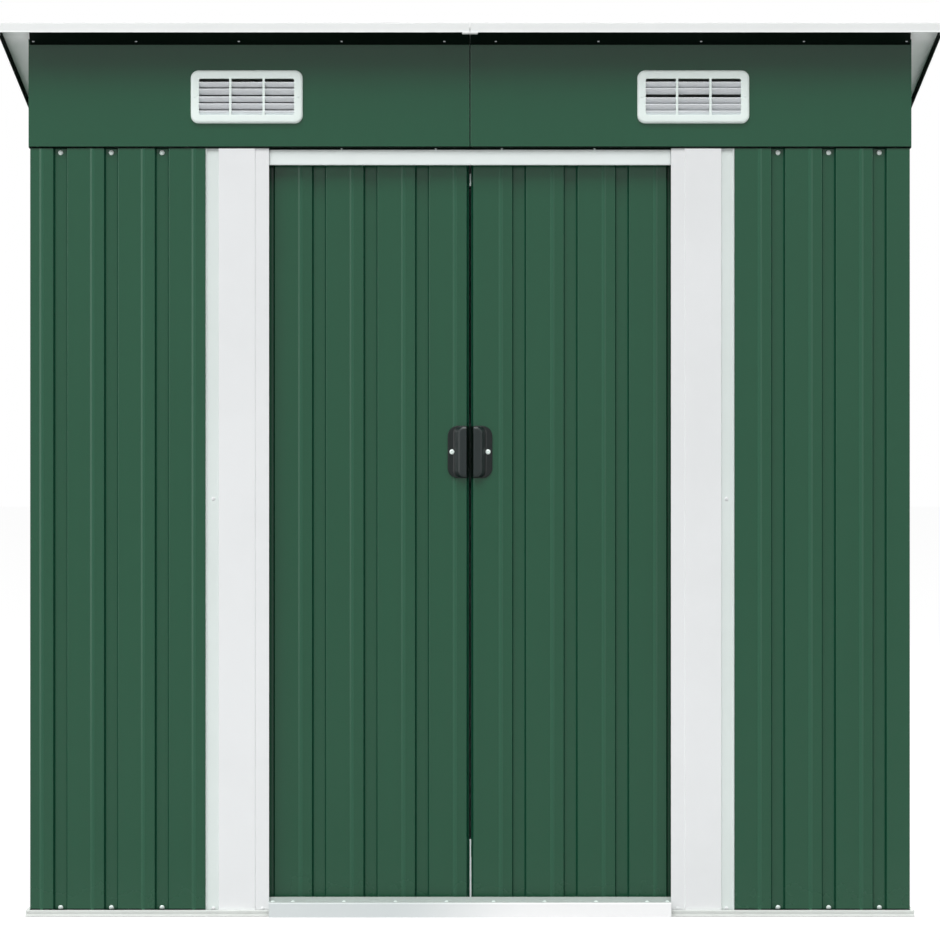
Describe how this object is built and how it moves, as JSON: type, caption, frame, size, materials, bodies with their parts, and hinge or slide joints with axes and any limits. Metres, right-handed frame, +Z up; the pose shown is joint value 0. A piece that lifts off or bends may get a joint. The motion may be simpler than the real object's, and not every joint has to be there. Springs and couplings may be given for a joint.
{
  "type": "metal storage shed",
  "caption": "Small free-standing shed of ribbed painted sheet metal with a single-slope roof, white posts and trims, louvre vents and a pair of sliding doors.",
  "frame": {"origin": "middle of the footprint of the whole shed, on the ground", "axes": "+X to the right seen from the front, +Y from the front to the back, +Z up"},
  "size_m": [1.9, 1.24, 1.8141],
  "materials": {
    "green_sheet": "satin dark green coil coating on ribbed sheet, light grey back coat",
    "white_trim": "satin white coating on folded sheet",
    "dark_soffit": "very dark green matt coating",
    "vent_plastic": "moulded white plastic",
    "handle_plastic": "moulded black plastic, fine grain",
    "slider_plastic": "smooth white plastic"
  },
  "bodies": {
    "shell": {"base_rail_front": "white_trim", "base_rail_back": "white_trim", "base_rail_left": "white_trim", "base_rail_right": "white_trim", "door_sill": "white_trim", "front_wall_left": "green_sheet", "front_wall_right": "green_sheet", "left_wall_front": "green_sheet", "left_wall_rear": "green_sheet", "right_wall_front": "green_sheet", "right_wall_rear": "green_sheet", "back_wall_left": "green_sheet", "back_wall_middle": "green_sheet", "back_wall_right": "green_sheet", "door_post_left": "white_trim", "door_post_right": "white_trim", "door_header": "white_trim", "door_top_track": "white_trim", "top_rail_front": "white_trim", "top_rail_back": "white_trim", "top_rail_left": "white_trim", "top_rail_right": "white_trim", "front_panel_left": "green_sheet", "front_panel_right": "green_sheet", "front_soffit": "dark_soffit", "vent_left": "vent_plastic", "vent_right": "vent_plastic", "gable_left": "green_sheet", "gable_right": "green_sheet", "roof_sheet_left": "green_sheet", "roof_sheet_middle_left": "green_sheet", "roof_sheet_middle_right": "green_sheet", "roof_sheet_right": "green_sheet", "roof_trim_front": "white_trim", "roof_trim_back": "white_trim", "roof_trim_left": "white_trim", "roof_trim_right": "white_trim"},
    "left_door": {"left_door_panel": "green_sheet", "left_door_rails": "white_trim", "left_door_sliders": "slider_plastic", "left_door_handle": "handle_plastic"},
    "right_door": {"right_door_panel": "green_sheet", "right_door_rails": "white_trim", "right_door_sliders": "slider_plastic", "right_door_handle": "handle_plastic"}
  },
  "joints": [
    {"name": "left_door_slide", "type": "slide", "parent": "shell", "child": "left_door", "axis": [-1, 0, 0], "range_m": [0, 0.35]},
    {"name": "right_door_slide", "type": "slide", "parent": "shell", "child": "right_door", "axis": [1, 0, 0], "range_m": [0, 0.35]}
  ]
}
